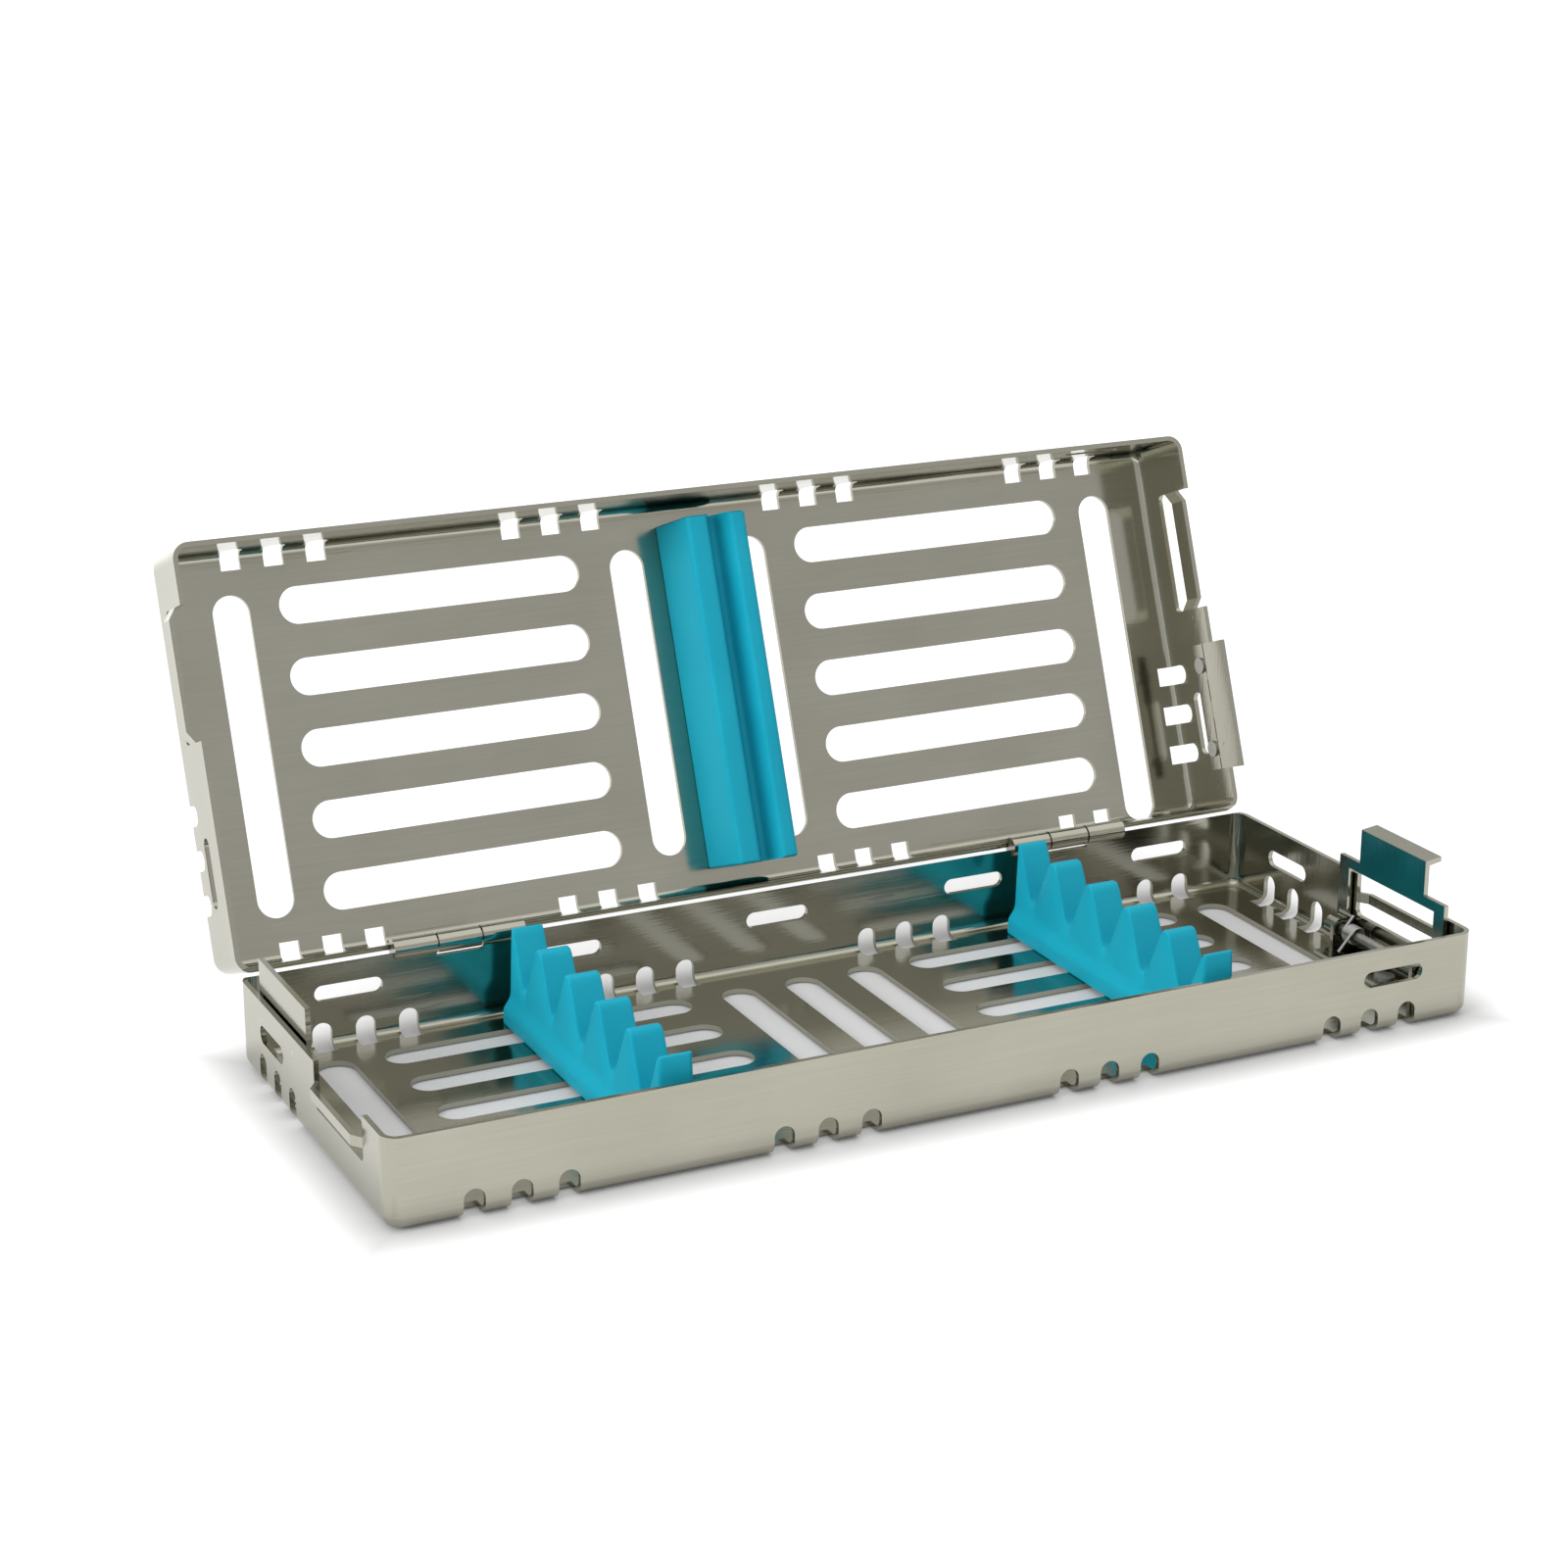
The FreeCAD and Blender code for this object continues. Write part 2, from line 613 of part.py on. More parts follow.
def make_saddle(label, across):
    """A comb of silicone with five V-shaped valleys, in line with the cross slots under it."""
    body = new_body("saddle_" + label)
    top = "sheet + saddle_height"
    sketch = Drawing(body, body.Label + "_section", "XZ_Plane")
    rail_section(sketch, [
        ("saddle_foot_width / 2", "sheet"),
        ("saddle_foot_width / 2", "sheet + saddle_foot_height"),
        ("saddle_top_width / 2 + sheet / 2", "sheet + saddle_neck_height"),
        ("saddle_top_width / 2", top)])
    pad(body, sketch, SADDLE_LENGTH, middle=True)
    valleys = Drawing(body, body.Label + "_valleys", "YZ_Plane")
    low = "%s - valley_depth" % top
    high = "%s + valley_depth / 12" % top
    wide = "(valley_top_width / 2 + (valley_top_width - valley_floor_width) / 24)"
    for step in range(-2, 3):
        middle = "%d * %s" % (step, PITCH)
        valleys.outline([("%s - valley_floor_width / 2" % middle, low),
                         ("%s + valley_floor_width / 2" % middle, low),
                         ("%s + %s" % (middle, wide), high), ("%s - %s" % (middle, wide), high)])
    pocket(body, valleys, middle=True)
    place(body, across, "0", "0")
    return body


def make_lid_pad():
    """The hold-down pad of the lid, with one groove along the face that meets the instruments."""
    body = new_body("lid_pad")
    top = "sheet + lid_pad_height"
    sketch = Drawing(body, "lid_pad_section", "XZ_Plane")
    rail_section(sketch, [
        ("lid_pad_width / 2", "sheet"),
        ("lid_pad_width / 2", "sheet + saddle_foot_height"),
        ("lid_pad_top_width / 2", top),
        ("lid_pad_groove_width / 2", top),
        ("lid_pad_groove_floor / 2", "%s - lid_pad_groove_depth" % top)])
    pad(body, sketch, PAD_LENGTH, middle=True)
    turn_lid(body)
    return body


def make_strip(name, length, rivets):
    """The flat strip under a silicone rail."""
    body = new_body(name)
    level = "sheet + strip_lift"
    sketch = Drawing(body, name + "_plan", "XY_Plane", level)
    sketch.rounded_rectangle("strip_width", "%s - 2 * strip_end_inset" % length, "strip_width / 4")
    pad(body, sketch, "strip_thickness")
    drill(body, name + "_holes", rivets, "rivet_diameter", level)
    return body


def stack_of_rounds(name, plane, places, rounds, reverse=False):
    """Solids of equal round steps at several places, each step from a level, with length and diameter."""
    body = new_body(name)
    body.AllowCompound = True
    for number, (level, length, diameter) in enumerate(rounds, start=1):
        sketch = Drawing(body, "%s_step_%d" % (name, number), plane, level)
        for across, up in places:
            sketch.circle(across, up, diameter)
        pad(body, sketch, length, reverse=reverse)
    return body


def make_strip_rivets(name, places):
    """Rivets flush below, with a shoulder that lifts the strip and a flat head over it."""
    strip = "sheet + strip_lift"
    return stack_of_rounds(name, "XY_Plane", places, [
        ("0", "sheet + strip_lift + strip_thickness", "rivet_diameter"),
        ("sheet", "strip_lift", "rivet_shoulder_diameter"),
        ("%s + strip_thickness" % strip, "rivet_head_height", "rivet_head_diameter")])


def make_bracket_rivets():
    """Rivets flush below, with a flat head on the bracket."""
    body = stack_of_rounds("latch_bracket_rivets", "XY_Plane", bracket_rivet_places("0"), [
        ("0", "2 * sheet", "rivet_diameter"),
        ("2 * sheet", "rivet_head_height / 2", "rivet_head_diameter")])
    place(body, "0", LATCH_Y, "0")
    return body


def make_guide_rivets(name, side, depth, hinge_side):
    """Rivets flush outside, with a flat head on the guide."""
    return stack_of_rounds(name, "YZ_Plane", guide_rivet_places(depth, hinge_side), [
        ("%d * tray_length / 2" % side, "2 * sheet", "guide_rivet_diameter"),
        ("%d * (tray_length / 2 - 2 * sheet)" % side, "guide_rivet_head", "2 * guide_rivet_diameter")],
        reverse=side > 0)


def make_guide(name, side, depth, hinge_side):
    """A tongue of sheet on the inside of an end wall, set in above the rim to lead the other half."""
    body = new_body(name)
    bend = "(%s - guide_bend)" % depth
    set_in = "(%s - guide_bend / 3)" % depth
    section = [("0", "%s - guide_below_rim" % depth), ("sheet", "%s - guide_below_rim" % depth),
               ("sheet", bend), ("sheet + fit_gap", set_in),
               ("sheet + fit_gap", "%s + guide_above_rim" % depth),
               ("fit_gap", "%s + guide_above_rim" % depth), ("fit_gap", set_in), ("0", bend)]
    along = "%d * (tray_width / 2 - guide_from_hinge)" % hinge_side
    sketch = Drawing(body, name + "_section", "XZ_Plane", along)
    sketch.outline([("%d * (tray_length / 2 - sheet - (%s))" % (side, inward), up) for inward, up in section])
    pad(body, sketch, "guide_length", middle=True)
    drill_end_wall(body, name + "_holes", side, guide_rivet_places(depth, hinge_side))
    return body


# Spring latch, drawn about its own middle and then moved along the end wall
PLATE_IN = "(tray_length / 2 - 2 * sheet - fit_gap)"
PLATE_OUT = "(tray_length / 2 - sheet - fit_gap)"
LEG_RADIUS = "(latch_pin_diameter / 2 + hinge_play + knuckle_wall)"
PIN_X = "(%s - %s)" % (PLATE_OUT, LEG_RADIUS)
PIN_Z = "(sheet + latch_pin_above_floor)"
LEG_INSIDE = "(latch_length / 2 - latch_leg_width)"


def make_latch_plate():
    """Two curled legs, an open window, and a tab whose lip reaches into the catch slot of the lid."""
    body = new_body("latch_plate")
    window = "(tray_depth + latch_window_above_rim)"
    bar = "(%s + latch_bar_height)" % window
    lip = "(tray_depth + rim_gap + lid_catch_slot_below_rim - catch_slot_height / 2 + fit_gap)"
    right = [("latch_length / 2", PIN_Z), ("latch_length / 2", bar), ("latch_tab_length / 2", bar),
             ("latch_tab_length / 2", lip)]
    plate = Drawing(body, "latch_plate_side", "YZ_Plane", PLATE_IN)
    plate.outline(right + [("-(%s)" % across, up) for across, up in reversed(right)])
    pad(body, plate, "sheet")
    curl = Drawing(body, "latch_curl", "XZ_Plane")
    curl.circle(PIN_X, PIN_Z, "2 * %s" % LEG_RADIUS)
    pad(body, curl, "latch_length", middle=True)
    tip = "%s + latch_lip_reach" % PLATE_OUT
    edge = Drawing(body, "latch_lip", "XZ_Plane")
    edge.outline([(PLATE_IN, lip), (PLATE_OUT, lip), (tip, "%s + latch_lip_rise" % lip),
                  (tip, "%s + latch_lip_rise + sheet" % lip), (PLATE_IN, "%s + sheet" % lip)])
    pad(body, edge, "latch_tab_length", middle=True)
    opening = Drawing(body, "latch_window", "YZ_Plane")
    opening.outline([("-%s" % LEG_INSIDE, "0"), (LEG_INSIDE, "0"), (LEG_INSIDE, window),
                     ("-%s" % LEG_INSIDE, window)])
    pocket(body, opening, middle=True)
    bore = Drawing(body, "latch_bore", "XZ_Plane")
    bore.circle(PIN_X, PIN_Z, "latch_pin_diameter + 2 * hinge_play")
    pocket(body, bore, middle=True)
    place(body, "0", LATCH_Y, "0")
    return body


def make_latch_bracket():
    """A channel on the tray floor whose two ears carry the latch pin between the legs."""
    body = new_body("latch_bracket")
    foot_in = "(%s - bracket_width / 2)" % BRACKET_X
    foot_out = "(%s + bracket_width / 2)" % BRACKET_X
    ear_in = "(%s - latch_pin_diameter / 2 - 2 * sheet)" % PIN_X
    ear_out = "(%s + latch_pin_diameter / 2 + sheet)" % PIN_X
    top = "sheet + bracket_ear_height"
    half = "(%s - fit_gap)" % LEG_INSIDE
    inside = "(%s - sheet)" % half
    section = Drawing(body, "bracket_section", "XZ_Plane")
    section.outline([(foot_in, "sheet"), (foot_out, "sheet"), (ear_out, "2 * sheet"), (ear_out, top),
                     (ear_in, top), (ear_in, "2 * sheet"), (foot_in, "2 * sheet")])
    pad(body, section, "2 * %s" % half, middle=True)
    channel = Drawing(body, "bracket_channel", "YZ_Plane")
    channel.outline([("-%s" % inside, "2 * sheet"), (inside, "2 * sheet"), (inside, "%s + sheet" % top),
                     ("-%s" % inside, "%s + sheet" % top)])
    pocket(body, channel, middle=True)
    bore = Drawing(body, "bracket_bore", "XZ_Plane")
    bore.circle(PIN_X, PIN_Z, "latch_pin_diameter + 2 * press_play")
    pocket(body, bore, middle=True)
    drill(body, "bracket_holes", bracket_rivet_places("0"), "rivet_diameter")
    place(body, "0", LATCH_Y, "0")
    return body


def make_latch_pin():
    pin = doc.addObject("Part::Cylinder", "latch_pin")
    pin.setExpression("Radius", bound("latch_pin_diameter / 2"))
    pin.setExpression("Height", bound("latch_length + sheet"))
    pin.Placement.Rotation = Rotation(Vector(1, 0, 0), 90)
    place(pin, PIN_X, "%s + (latch_length + sheet) / 2" % LATCH_Y, PIN_Z)
    return pin


def make_latch_spring():
    """A coil round the pin near one leg of the plate, with a foot down to the bracket and an arm that
    turns sideways behind that leg."""
    body = new_body("latch_spring")
    coil = "(latch_pin_diameter / 2 + fit_gap + spring_wire / 2)"
    pitch = "(1.1 * spring_wire)"
    length = "(spring_turns * %s)" % pitch
    start = Drawing(body, "spring_start", "XY_Plane")
    start.eight_sided("-%s" % coil, "-%s / 2" % length, "spring_wire")
    turns = body.newObject("PartDesign::AdditiveHelix", "spring_coil")
    turns.Profile = start.close()
    turns.ReferenceAxis = (start.sketch, ["V_Axis"])
    turns.Mode = "pitch-turns-angle"
    turns.setExpression("Pitch", bound(pitch))
    turns.setExpression("Turns", bound("spring_turns"))
    doc.recompute()
    for name, end, reach, down in (
            ("spring_foot", "-", "latch_pin_above_floor + spring_wire - fit_gap / 3", True),
            ("spring_arm", "", "spring_leg + spring_wire / 2", False)):
        leg = Drawing(body, name, "XY_Plane")
        leg.eight_sided("-%s" % coil, "%s%s / 2" % (end, length), "spring_wire")
        pad(body, leg, reach, reverse=down)
    side = Drawing(body, "spring_side_arm", "XZ_Plane", "-%s / 2" % length)
    side.eight_sided("-%s" % coil, "spring_leg", "spring_wire")
    pad(body, side, "spring_from_leg + latch_leg_width / 2 - %s / 2" % length, reverse=True)
    room = "(%s - %s - fit_gap / 3 - spring_wire / 2)" % (PLATE_IN, PIN_X)
    lean = "(atan(%s / spring_leg) + asin(%s / sqrt(spring_leg ^ 2 + %s ^ 2)))" % (coil, room, coil)
    body.Placement.Rotation = Rotation(Vector(0, 1, 0), value(lean))
    body.setExpression("Placement.Rotation.Angle", bound(lean))
    place(body, PIN_X, "%s + %s - spring_from_leg" % (LATCH_Y, LEG_INSIDE), PIN_Z)
    return body


def main():
    pieces = [make_tray_shell()] + [make_saddle(label, across) for label, across in SADDLES]
    rivets = []
    for label, across in SADDLES:
        strip = make_strip("saddle_strip_" + label, SADDLE_LENGTH, saddle_rivet_places("0"))
        place(strip, across, "0", "0")
        pieces.append(strip)
        rivets += saddle_rivet_places(across)
    pieces.append(make_strip_rivets("saddle_rivets", rivets))
    pieces += [make_hinge_pin(label, side) for label, side in HINGES]
    pieces.append(make_guide("tray_guide", -1, "tray_depth", -1))
    pieces.append(make_guide_rivets("tray_guide_rivets", -1, "tray_depth", -1))
    pieces += [make_latch_bracket(), make_bracket_rivets(), make_latch_pin(), make_latch_plate(),
               make_latch_spring()]
    pieces += [make_lid_shell(), make_lid_pad()]
    lid_pieces = [
        make_strip("lid_pad_strip", PAD_LENGTH, pad_rivet_places()),
        make_strip_rivets("lid_pad_rivets", pad_rivet_places()),
        make_guide("lid_guide", 1, "lid_depth", 1),
        make_guide_rivets("lid_guide_rivets", 1, "lid_depth", 1)]
    for piece in lid_pieces:
        turn_lid(piece)
    pieces += lid_pieces
    doc.recompute()
    for item in doc.Objects:
        if "Invalid" in item.State or "Error" in item.State:
            raise ValueError(item.Name + " is not sound")
    os.makedirs("parts", exist_ok=True)
    for piece in pieces:
        if piece.Shape.isNull() or not piece.Shape.isValid():
            raise ValueError(piece.Label + " has no sound shape")
        piece.Shape.exportStep("parts/%s.step" % piece.Label)
        print(piece.Label, len(piece.Shape.Solids), piece.Shape.Volume, piece.Shape.BoundBox)


main()
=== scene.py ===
import json
import math
import bpy
import numpy as np
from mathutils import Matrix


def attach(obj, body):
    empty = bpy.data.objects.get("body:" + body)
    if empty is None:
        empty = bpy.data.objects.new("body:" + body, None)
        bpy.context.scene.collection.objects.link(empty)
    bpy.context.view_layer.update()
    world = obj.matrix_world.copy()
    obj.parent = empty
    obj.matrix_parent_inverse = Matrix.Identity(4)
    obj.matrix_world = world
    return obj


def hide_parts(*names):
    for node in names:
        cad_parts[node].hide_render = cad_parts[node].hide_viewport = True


# Instrument cassette: polished, perforated sheet steel with turquoise silicone rails.
# Metres, +Z up, +X along the length to the latch end, +Y to the hinge side.

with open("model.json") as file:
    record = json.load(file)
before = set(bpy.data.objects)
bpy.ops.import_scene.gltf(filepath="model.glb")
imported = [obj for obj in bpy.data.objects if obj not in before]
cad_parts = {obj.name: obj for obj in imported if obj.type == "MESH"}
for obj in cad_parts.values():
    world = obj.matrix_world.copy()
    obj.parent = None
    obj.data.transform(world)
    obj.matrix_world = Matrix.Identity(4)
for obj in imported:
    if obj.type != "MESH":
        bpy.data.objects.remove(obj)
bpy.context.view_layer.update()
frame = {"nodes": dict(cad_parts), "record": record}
MM = 0.001

# Shared with the solids, in millimetres: the sheet's thickness, the middle of each bank of slots,
# the pitch of the slots, and how the lid stands open
SHEET = 0.8
BANK = 45.2
PITCH = 11.4
LID_TURN = math.radians(69.0)
LID_SHIFT = (58.596, 39.672)


# Shader maths written as expressions
class Amount:
    """A shader value whose operators add Math nodes to the tree it belongs to."""

    def __init__(self, nodes, socket):
        self.nodes = nodes
        self.socket = socket

    def calc(self, operation, *others):
        inputs = dict(enumerate((self, *others)))
        return self.nodes.node("ShaderNodeMath", {"operation": operation}, inputs).out(0)

    def __add__(self, other):
        return self.calc("ADD", other)

    def __radd__(self, other):
        return self.calc("ADD", other)

    def __sub__(self, other):
        return self.calc("SUBTRACT", other)

    def __rsub__(self, other):
        return self.calc("MULTIPLY", -1.0) + other

    def __mul__(self, other):
        return self.calc("MULTIPLY", other)

    def __rmul__(self, other):
        return self.calc("MULTIPLY", other)

    def __abs__(self):
        return self.calc("ABSOLUTE")

    def over(self, low, high):
        """0 below low, 1 above high, smooth between."""
        inputs = {"Value": self, "From Min": low, "From Max": high}
        settings = {"interpolation_type": "SMOOTHSTEP"}
        return self.nodes.node("ShaderNodeMapRange", settings, inputs).out(0)


class Placed:
    """A node that has been put in a tree."""

    def __init__(self, nodes, node):
        self.nodes = nodes
        self.node = node

    def out(self, name):
        return Amount(self.nodes, self.node.outputs[name])


class Nodes:
    """A node tree that expressions and finishes add nodes to."""

    def __init__(self, tree):
        self.tree = tree

    def feed(self, node, name, given):
        if isinstance(given, Amount):
            self.tree.links.new(given.socket, node.inputs[name])
        else:
            node.inputs[name].default_value = given

    def node(self, kind, settings=None, inputs=None):
        made = self.tree.nodes.new(kind)
        for name, setting in (settings or {}).items():
            setattr(made, name, setting)
        for name, given in (inputs or {}).items():
            self.feed(made, name, given)
        return Placed(self, made)

    def axis(self, vector, name):
        """One of a vector's three numbers."""
        return self.node("ShaderNodeSeparateXYZ", {}, {0: vector}).out(name)


class Finish(Nodes):
    """A material built from one Principled shader."""

    def __init__(self, name, **constants):
        self.material = bpy.data.materials.new(name)
        self.material.use_nodes = True
        super().__init__(self.material.node_tree)
        self.shader = self.tree.nodes["Principled BSDF"]
        for label, number in constants.items():
            self.set(label.replace("_", " "), number)

    def set(self, name, given):
        self.feed(self.shader, name, given)

    def spot(self, scale=(1.0, 1.0, 1.0), turn=(0.0, 0.0, 0.0)):
        """Object coordinates, turned and stretched."""
        place = self.node("ShaderNodeTexCoord").out("Object")
        inputs = {"Vector": place, "Rotation": turn, "Scale": scale}
        return self.node("ShaderNodeMapping", {}, inputs).out(0)

    def noise(self, where, scale, detail=2.0, roughness=0.5):
        inputs = {"Vector": where, "Scale": scale, "Detail": detail, "Roughness": roughness}
        return self.node("ShaderNodeTexNoise", {}, inputs).out("Fac")

    def mix(self, share, low, high):
        """From the colour low at share 0 to the colour high at share 1."""
        inputs = {0: share, 6: (*low, 1.0), 7: (*high, 1.0)}
        return self.node("ShaderNodeMix", {"data_type": "RGBA"}, inputs).out(2)

    def bump(self, height, distance, strength, under=None):
        """Normals of a height in metres times distance, on top of the normals under it."""
        inputs = {"Height": height, "Distance": distance, "Strength": strength}
        if under is not None:
            inputs["Normal"] = under
        return self.node("ShaderNodeBump", {}, inputs).out(0)


# Grain of the sheet, in cells per metre along and across the polishing
GRAIN_LONG = 60.0
GRAIN_FINE = 2200.0


def polished_sheet(name, lean=0.0, bow=(0.0, 0.0)):
    """Cold rolled stainless sheet, polished along its length: soft grain, faint scratches, gentle
    waves. On the end walls the grain runs up the wall, which leans with the lid. The bow is how far
    a springy piece stands off square, as slopes along Y and Z."""
    finish = Finish(name, Metallic=1.0)
    along = finish.noise(finish.spot((GRAIN_LONG, GRAIN_FINE, GRAIN_FINE)), 1.0, 3.0, 0.6)
    on_end = finish.spot((GRAIN_FINE, GRAIN_FINE, GRAIN_LONG), (-lean, 0.0, 0.0))
    upward = finish.noise(on_end, 1.0, 3.0, 0.6)
    facing = finish.node("ShaderNodeTexCoord").out("Normal")
    endwise = abs(finish.axis(facing, "X")).over(0.5, 0.8)
    grain = along + endwise * (upward - along)
    cloud = finish.noise(finish.spot(), 55.0, 3.0)
    wave = finish.noise(finish.spot((0.6, 1.0, 1.0)), 38.0, 1.0)
    hair = finish.noise(finish.spot((90.0, 900.0, 900.0), (0.0, 0.0, 0.5)), 1.0, 2.0)
    scratch = hair.over(0.68, 0.76)
    tone = 0.6 * cloud + 0.4 * grain
    finish.set("Base Color", finish.mix(tone, (0.32, 0.31, 0.25), (0.45, 0.44, 0.37)))
    finish.set("Roughness", 0.06 + 0.07 * cloud + 0.08 * grain + 0.10 * scratch)
    low = finish.bump(wave, 0.0012, 0.22)
    if any(bow):
        spot = finish.spot()
        slope = bow[0] * finish.axis(spot, "Y") + bow[1] * finish.axis(spot, "Z")
        low = finish.bump(slope, 1.0, 1.0, low)
    finish.set("Normal", finish.bump(grain - 0.6 * scratch, 0.00003, 0.4, low))
    return finish.material


def turned_steel():
    """Small turned pins and rivets: rougher than the sheet, with a fine cloud in colour."""
    finish = Finish("turned steel", Metallic=1.0)
    cloud = finish.noise(finish.spot(), 900.0, 3.0)
    finish.set("Base Color", finish.mix(cloud, (0.42, 0.41, 0.38), (0.60, 0.59, 0.56)))
    finish.set("Roughness", 0.30 + 0.14 * cloud)
    finish.set("Normal", finish.bump(cloud, 0.00003, 0.4))
    return finish.material


def bright_wire():
    """Hard drawn spring wire with fine draw lines."""
    finish = Finish("bright wire", Metallic=1.0)
    lines = finish.noise(finish.spot((3000.0, 3000.0, 300.0)), 1.0, 2.0)
    finish.set("Base Color", finish.mix(lines, (0.44, 0.44, 0.42), (0.60, 0.60, 0.57)))
    finish.set("Roughness", 0.26 + 0.12 * lines)
    finish.set("Normal", finish.bump(lines, 0.00002, 0.4))
    return finish.material


def turquoise_silicone():
    """Moulded silicone, satin, with a fine tooled skin and a slight drift in colour."""
    finish = Finish("turquoise silicone", IOR=1.42, Specular_IOR_Level=0.2, Subsurface_Weight=0.12,
                    Subsurface_Radius=(0.1, 0.6, 0.8), Subsurface_Scale=0.0015)
    drift = finish.noise(finish.spot(), 70.0, 2.0)
    skin = finish.noise(finish.spot(), 2600.0, 3.0)
    finish.set("Base Color", finish.mix(drift, (0.004, 0.29, 0.42), (0.012, 0.38, 0.50)))
    finish.set("Roughness", 0.40 + 0.12 * drift + 0.08 * skin)
    finish.set("Normal", finish.bump(skin, 0.00005, 0.35))
    return finish.material


FINISHES = {
    "stainless_sheet": polished_sheet("polished sheet"),
    "stainless_pins": turned_steel(),
    "spring_steel": bright_wire(),
    "silicone": turquoise_silicone(),
}

LATCH_BOW = (0.12, -0.085)
LID_SHEET = polished_sheet("polished sheet of lid", lean=LID_TURN)
LATCH_SHEET = polished_sheet("polished sheet of latch", bow=LATCH_BOW)


def finish_of(name, slot):
    """The finish of a node's slot. The sheet of the lid and of the latch plate has its own."""
    if slot == "stainless_sheet" and name == "latch_plate":
        return LATCH_SHEET
    if slot == "stainless_sheet" and name.startswith("lid"):
        return LID_SHEET
    return FINISHES[slot]


for part in frame["record"]["subparts"]:
    node = frame["nodes"][part["node"]]
    node.data.materials.clear()
    node.data.materials.append(finish_of(part["node"], part["material_slot"]))


# Silicone pieces: one section carried along a bar, in millimetres
CORNER_STEPS = 5
END_STEPS = 5
END_EDGE = 0.5


def soft_corners(section):
    """The x and z of a closed outline through corners given as (x, z, radius). Each is rounded by a
    quadratic curve that starts and ends at its radius from the corner along the two sides."""
    corners, radii = np.split(np.array(section, float), [2], axis=1)
    back = np.roll(corners, 1, 0) - corners
    ahead = np.roll(corners, -1, 0) - corners
    start = corners + back / np.linalg.norm(back, axis=1, keepdims=True) * radii
    end = corners + ahead / np.linalg.norm(ahead, axis=1, keepdims=True) * radii
    start, middle, end = start[:, None], corners[:, None], end[:, None]
    t = np.linspace(0.0, 1.0, CORNER_STEPS)[None, :, None]
    curve = (1 - t) ** 2 * start + 2 * t * (1 - t) * middle + t ** 2 * end
    return curve.reshape(-1, 2).T


def stations(length, count):
    """Places along a bar: count over its middle, and a few more that crowd over its rounded ends."""
    middle = np.linspace(-length / 2 + END_EDGE, length / 2 - END_EDGE, count)
    turn = np.sin(np.linspace(0.0, math.pi / 2, END_STEPS))[:-1]
    low = -length / 2 + END_EDGE * turn
    return np.concatenate([low, middle, -low[::-1]])


def end_shrink(y, length):
    """How far a section draws in near the ends: a quarter circle of the end's radius."""
    inside = np.clip((np.abs(y) - (length / 2 - END_EDGE)) / END_EDGE, 0.0, 1.0)
    return END_EDGE * (1.0 - np.sqrt(1.0 - inside ** 2))


def carried(x, z, y, length, high):
    """Rings of an outline x, z at the places y. Each stands on the sheet, ends below high, and draws
    in towards its middle near the bar's two ends."""
    shrink = end_shrink(y, length)[:, None]
    wide = np.sign(x) * np.maximum(np.abs(x) - shrink, 0.0)
    tall = np.clip(z, SHEET + shrink, high - shrink)
    return np.stack(np.broadcast_arrays(wide, y[:, None], tall), -1)


def silicone_piece(name, rings):
    """A closed piece in metres: quads from each ring to the next, and a cap on both end rings."""
    rows, columns = rings.shape[:2]
    i, j = np.meshgrid(np.arange(rows - 1) * columns, np.arange(columns), indexing="ij")
    k = (j + 1) % columns
    quads = np.stack([i + columns + j, i + columns + k, i + k, i + j], -1).reshape(-1, 4)
    last = (rows - 1) * columns
    caps = [list(range(columns)), list(range(last + columns - 1, last - 1, -1))]
    mesh = bpy.data.meshes.new(name)
    mesh.from_pydata((rings.reshape(-1, 3) * MM).tolist(), [], quads.tolist() + caps)
    mesh.polygons.foreach_set("use_smooth", np.ones(len(mesh.polygons), bool))
    mesh.update()
    mesh.materials.append(FINISHES["silicone"])
    piece = bpy.data.objects.new(name, mesh)
    bpy.context.scene.collection.objects.link(piece)
    return piece


# Comb rail with five valleys in its crest
RAIL_LENGTH = 56.6
RAIL_STATIONS = 420
RAIL_TOP = 16.5
RAIL_NECK = 5.6
RAIL_SECTION = [(-4.3, SHEET, 0.4), (4.3, SHEET, 0.4), (4.3, 3.4, 0.7), (3.0, 5.2, 0.9),
                (2.6, RAIL_TOP, 0.45), (-2.6, RAIL_TOP, 0.45), (-3.0, 5.2, 0.9), (-4.3, 3.4, 0.7)]
VALLEYS_BESIDE_MIDDLE = 2
VALLEY_DEPTH = 9.0
VALLEY_TOP = 9.8
VALLEY_FLOOR = 1.4
SOFTEN = 0.55
SOFTEN_SAMPLES = 17


def crest(y):
    """Crest height: narrow tops, straight flanks and a narrow valley floor about each slot, rounded
    by a running average."""
    place = y[:, None] + np.linspace(-SOFTEN, SOFTEN, SOFTEN_SAMPLES)[None, :]
    slot = np.clip(np.round(place / PITCH), -VALLEYS_BESIDE_MIDDLE, VALLEYS_BESIDE_MIDDLE)
    away = np.abs(place - slot * PITCH)
    share = np.clip((away - VALLEY_FLOOR / 2) / ((VALLEY_TOP - VALLEY_FLOOR) / 2), 0.0, 1.0)
    return (RAIL_TOP - VALLEY_DEPTH * (1.0 - share)).mean(1)


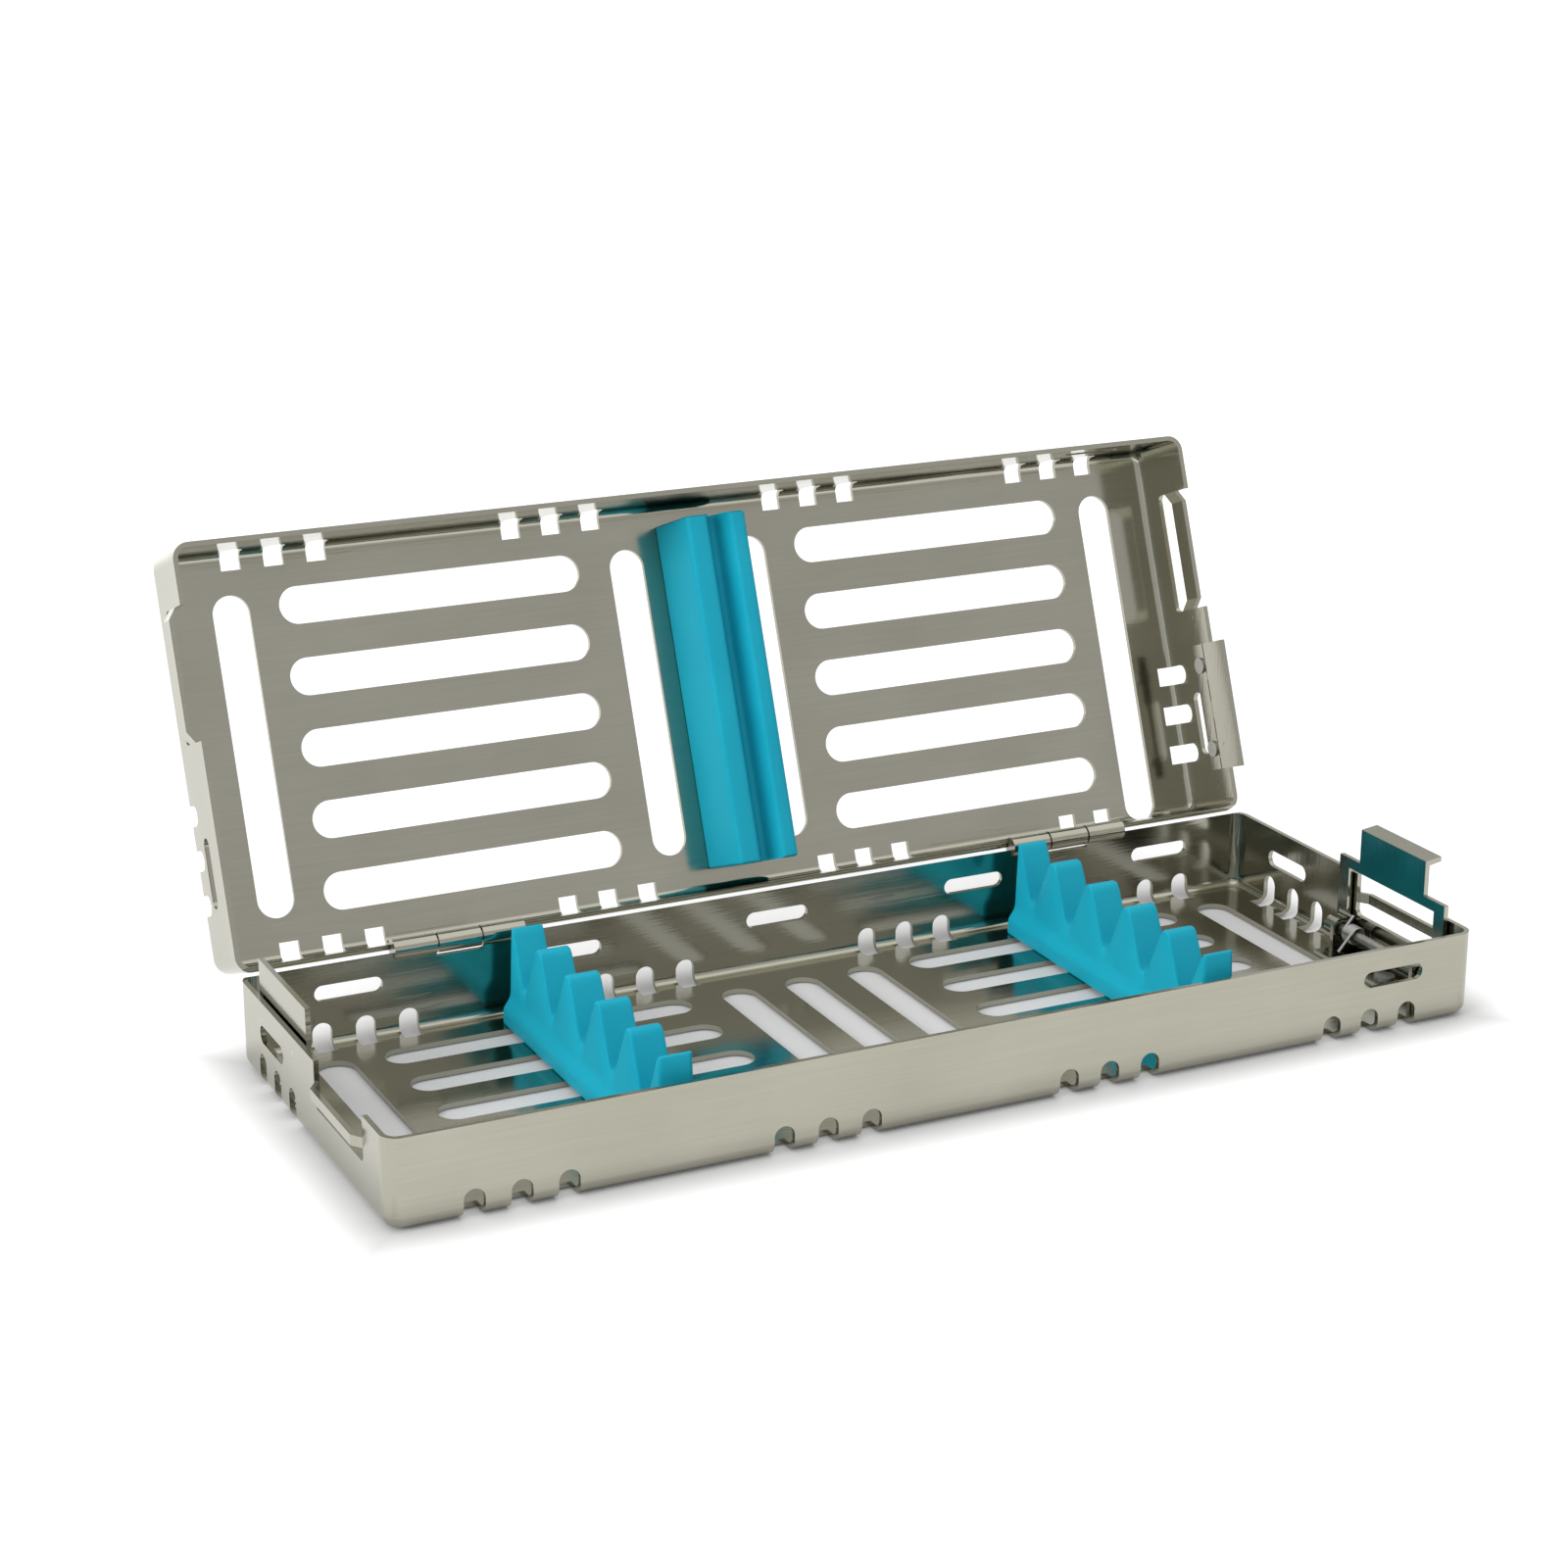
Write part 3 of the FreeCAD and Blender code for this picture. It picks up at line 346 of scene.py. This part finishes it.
def comb_rail(name, across):
    """A footed section carried along Y. Above the neck its heights are squeezed in proportion, so
    that its top follows the crest."""
    x, z = soft_corners(RAIL_SECTION)
    y = stations(RAIL_LENGTH, RAIL_STATIONS)
    high = crest(y)[:, None]
    squeezed = RAIL_NECK + (z - RAIL_NECK) * (high - RAIL_NECK) / (RAIL_TOP - RAIL_NECK)
    rings = carried(x, np.where(z > RAIL_NECK, squeezed, z), y, RAIL_LENGTH, high)
    rings[..., 0] += across
    return silicone_piece(name, rings)


# Hold-down pad of the lid with a V groove between two narrow ridges
PAD_LENGTH = 57.5
PAD_STATIONS = 60
PAD_TOP = 12.0
PAD_SECTION = [(-5.1, SHEET, 0.4), (6.9, SHEET, 0.4), (6.4, PAD_TOP, 0.7), (3.8, PAD_TOP, 0.5),
               (2.1, 8.4, 0.45), (1.1, 8.4, 0.45), (-0.6, PAD_TOP, 0.5), (-4.1, PAD_TOP, 0.7)]


def lid_to_world(points):
    """From the lid lying on its back to the lid standing open: turned about X, then shifted."""
    x, y, z = np.moveaxis(points, -1, 0)
    cosine, sine = math.cos(LID_TURN), math.sin(LID_TURN)
    along, up = LID_SHIFT
    return np.stack([x, along + y * cosine - z * sine, up + y * sine + z * cosine], -1)


def hold_down_pad(name):
    """A section with straight sides carried along the lid's depth."""
    x, z = soft_corners(PAD_SECTION)
    y = stations(PAD_LENGTH, PAD_STATIONS)
    return silicone_piece(name, lid_to_world(carried(x, z, y, PAD_LENGTH, PAD_TOP)))


for side, place in (("left", -BANK), ("right", BANK)):
    rail = comb_rail("silicone_rail_" + side, place)
    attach(rail, "tray")
    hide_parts("saddle_" + side)
cushion = hold_down_pad("silicone_hold_down_pad")
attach(cushion, "lid")
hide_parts("lid_pad")


# Studio: a pale table, soft lamps, the camera of the photograph
TABLE_REACH = 12.0
TABLE_DROP = 0.0002

# What the table shows of itself to the camera and in reflections: little under the tray, a painted
# shadow of the tray, more beside it, where the change is TRAY_EDGE wide, and plain white at the far
# end of FADE
PAINTED_SHADE_GLOW = 0.04
NEAR_GLOW = 0.52
TRAY_REACH = (0.088, 0.031)
TRAY_EDGE = 0.012
FADE = (0.16, 0.9)

# Rise of a view into the room, as the sine of its angle, over which the room dims
DIMMING = (0.08, 0.30)

CAMERA_PLACE = (-0.2167, -0.4123, 0.1951)
CAMERA_YAW = math.radians(26.08)
CAMERA_PITCH = math.radians(18.27)
CAMERA_ROLL = math.radians(-0.11)
CAMERA_LENS = 74.53
CAMERA_SENSOR = 36.0


def table():
    """A wide pale table just under the tray, a square of plus and minus its reach."""
    mesh = bpy.data.meshes.new("table")
    corners = [(x * TABLE_REACH, y * TABLE_REACH, -TABLE_DROP)
               for x, y in ((-1, -1), (1, -1), (1, 1), (-1, 1))]
    mesh.from_pydata(corners, [], [(0, 1, 2, 3)])
    piece = bpy.data.objects.new("table", mesh)
    bpy.context.scene.collection.objects.link(piece)
    finish = Finish("pale table", Roughness=0.7, Emission_Strength=1.0)
    speck = finish.noise(finish.spot(), 30.0, 2.0)
    finish.set("Base Color", finish.mix(speck, (0.57, 0.57, 0.57), (0.59, 0.59, 0.59)))
    path = finish.node("ShaderNodeLightPath")
    seen = path.out("Is Camera Ray") + path.out("Is Glossy Ray") + path.out("Is Transmission Ray")
    spot = finish.spot()
    away = finish.node("ShaderNodeVectorMath", {"operation": "LENGTH"}, {0: spot}).out("Value")
    past_end = abs(finish.axis(spot, "X")) - TRAY_REACH[0]
    past_side = abs(finish.axis(spot, "Y")) - TRAY_REACH[1]
    # Painted shade: the table glows less under the tray's footprint and within TRAY_EDGE of it, a
    # painted contact shadow that the steel also shows in its reflections
    clear_of_painted_shade = past_end.calc("MAXIMUM", past_side).over(0.0, TRAY_EDGE)
    near = PAINTED_SHADE_GLOW + (NEAR_GLOW - PAINTED_SHADE_GLOW) * clear_of_painted_shade
    glow = seen * (near + (1.0 - NEAR_GLOW) * away.over(*FADE))
    finish.set("Emission Color", finish.mix(glow, (0.0, 0.0, 0.0), (1.0, 1.0, 1.0)))
    mesh.materials.append(finish.material)


def room(low, high):
    """An even white room: as bright as low beside the table, and as high from 17 degrees up."""
    world = bpy.data.worlds.new("room")
    bpy.context.scene.world = world
    world.use_nodes = True
    sky = Nodes(world.node_tree)
    direction = sky.node("ShaderNodeTexCoord").out("Generated")
    upper = sky.axis(direction, "Z").over(*DIMMING)
    background = sky.tree.nodes["Background"]
    sky.feed(background, "Color", (1.0, 1.0, 1.0, 1.0))
    sky.feed(background, "Strength", low + (high - low) * upper)


def lamp(name, place, target, size, power, mirrored=True):
    """A soft rectangle of light. One that isn't mirrored lights the silicone and leaves the steel
    calm."""
    light = bpy.data.lights.new(name, "AREA")
    light.shape = "RECTANGLE"
    light.size, light.size_y = size
    light.energy = power
    body = bpy.data.objects.new(name, light)
    body.location = place
    body.visible_glossy = mirrored
    x, y, z = np.array(target) - np.array(place)
    tilt = math.pi / 2 + math.atan2(z, math.hypot(x, y))
    body.rotation_euler = (tilt, 0.0, math.atan2(y, x) - math.pi / 2)
    bpy.context.scene.collection.objects.link(body)


def camera():
    """The camera that took the photograph: fitted place, yaw, pitch, roll and lens."""
    lens = bpy.data.cameras.new("camera")
    lens.lens = CAMERA_LENS
    lens.sensor_width = CAMERA_SENSOR
    body = bpy.data.objects.new("camera", lens)
    body.location = CAMERA_PLACE
    body.rotation_euler = (math.pi / 2 - CAMERA_PITCH, CAMERA_ROLL, -CAMERA_YAW)
    bpy.context.scene.collection.objects.link(body)
    bpy.context.scene.camera = body


camera()
table()
room(low=1.0, high=0.72)
lamp("overhead", place=(0.0, -0.05, 0.75), target=(0.0, 0.0, 0.0), size=(1.6, 1.2), power=3.4)
lamp("left", place=(-0.96, -0.22, 0.42), target=(0.0, 0.0, 0.02), size=(0.6, 0.5), power=7.2,
     mirrored=False)

bpy.context.scene.view_settings.view_transform = "Standard"
